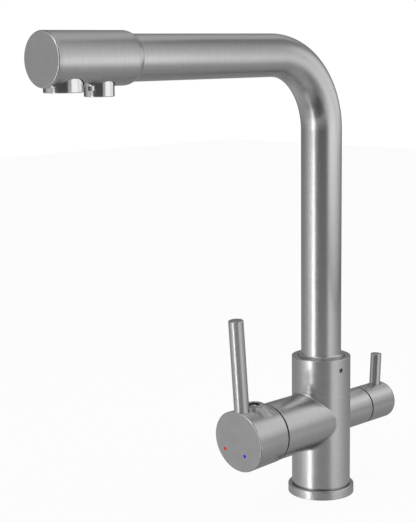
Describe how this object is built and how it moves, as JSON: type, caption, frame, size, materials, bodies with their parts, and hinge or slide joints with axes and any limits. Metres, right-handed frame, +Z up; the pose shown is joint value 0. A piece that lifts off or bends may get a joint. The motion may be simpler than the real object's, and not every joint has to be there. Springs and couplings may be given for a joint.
{
  "type": "kitchen mixer tap with filtered-water outlet",
  "caption": "Swivel-spout kitchen mixer tap with a side mixing lever, a small filter lever on the opposite arm and separate outlets for mixed and filtered water.",
  "frame": {"origin": "centre of the base's underside, on the worktop and on the axis of the upright body", "axes": "+Z up along the body, -Y towards the spout's reach and the mixing handle, +Y towards the filter handle, -X towards the user"},
  "size_m": [0.053, 0.3529, 0.3699],
  "materials": {
    "brushed_nickel": "satin brushed nickel over brass, fine brushing",
    "bright_chrome": "bright polished chrome",
    "bare_steel": "plain stainless steel",
    "bare_brass": "machined brass",
    "pale_plastic": "natural acetal",
    "dark_plastic": "dark acetal",
    "white_ceramic": "polished alumina ceramic",
    "black_rubber": "moulded rubber",
    "red_enamel": "glossy enamel",
    "blue_enamel": "glossy enamel"
  },
  "bodies": {
    "tap_body": {"base_seal": "black_rubber", "foot_ring": "brushed_nickel", "main_body": "brushed_nickel", "cartridge_base": "pale_plastic", "port_seals": "black_rubber", "fixed_disc": "white_ceramic", "cartridge_housing": "pale_plastic", "cartridge_nut": "bare_brass", "dome_ring": "brushed_nickel", "filter_headwork": "bare_brass", "filter_seat_seal": "black_rubber", "filter_fixed_disc": "white_ceramic", "filter_slip_ring": "dark_plastic", "spindle_oring": "black_rubber", "pipe_oring": "black_rubber", "spout_grub_screw": "bare_steel"},
    "spout": {"spout_foot": "brushed_nickel", "spout_orings": "black_rubber", "spout_glide_rings": "pale_plastic", "spout_tube": "brushed_nickel", "filtered_water_pipe": "pale_plastic", "head_shell": "brushed_nickel", "head_end_disc": "brushed_nickel", "filter_elbow": "bare_brass", "outlet_collar": "brushed_nickel", "aerator_housing": "pale_plastic", "aerator_insert": "pale_plastic", "aerator_seal": "black_rubber", "filter_outlet_collar": "brushed_nickel", "filter_aerator_housing": "pale_plastic", "filter_aerator_insert": "pale_plastic", "filter_aerator_seal": "black_rubber"},
    "cartridge_core": {"cartridge_carrier": "dark_plastic", "pivot_pin": "bare_steel"},
    "cartridge_slide": {"sliding_disc": "white_ceramic", "disc_slider": "dark_plastic"},
    "mixer_handle": {"cartridge_stem": "bare_brass", "mixer_cap": "brushed_nickel", "mixer_lever": "brushed_nickel", "lever_stud": "bare_steel", "handle_screw": "bare_steel", "screw_cover": "bright_chrome", "hot_dot": "red_enamel", "cold_dot": "blue_enamel"},
    "filter_handle": {"filter_spindle": "bare_brass", "filter_turning_disc": "white_ceramic", "filter_cap": "brushed_nickel", "filter_lever": "brushed_nickel", "filter_lever_stud": "bare_steel", "filter_cap_screw": "bare_steel"}
  },
  "joints": [
    {"name": "spout_swivel", "type": "hinge", "parent": "tap_body", "child": "spout", "pos_m": [0, 0, 0.0985], "axis": [0, 0, 1], "continuous": true},
    {"name": "mixer_turn", "type": "hinge", "parent": "tap_body", "child": "cartridge_core", "pos_m": [0, -0.055, 0.0623], "axis": [0, -1, 0], "range_deg": [-50, 50]},
    {"name": "mixer_lift", "type": "hinge", "parent": "cartridge_core", "child": "mixer_handle", "pos_m": [0, -0.055, 0.0623], "axis": [1, 0, 0], "range_deg": [0, 22]},
    {"name": "disc_slide", "type": "slide", "parent": "cartridge_core", "child": "cartridge_slide", "axis": [0, 0, 1], "range_m": [0, 0.0053]},
    {"name": "filter_turn", "type": "hinge", "parent": "tap_body", "child": "filter_handle", "pos_m": [0, 0.0481, 0.0613], "axis": [0, -1, 0], "range_deg": [0, 90]}
  ],
  "couplings": [
    {"joint": "disc_slide", "follows": "mixer_lift", "m_per_rad": 0.013575}
  ]
}
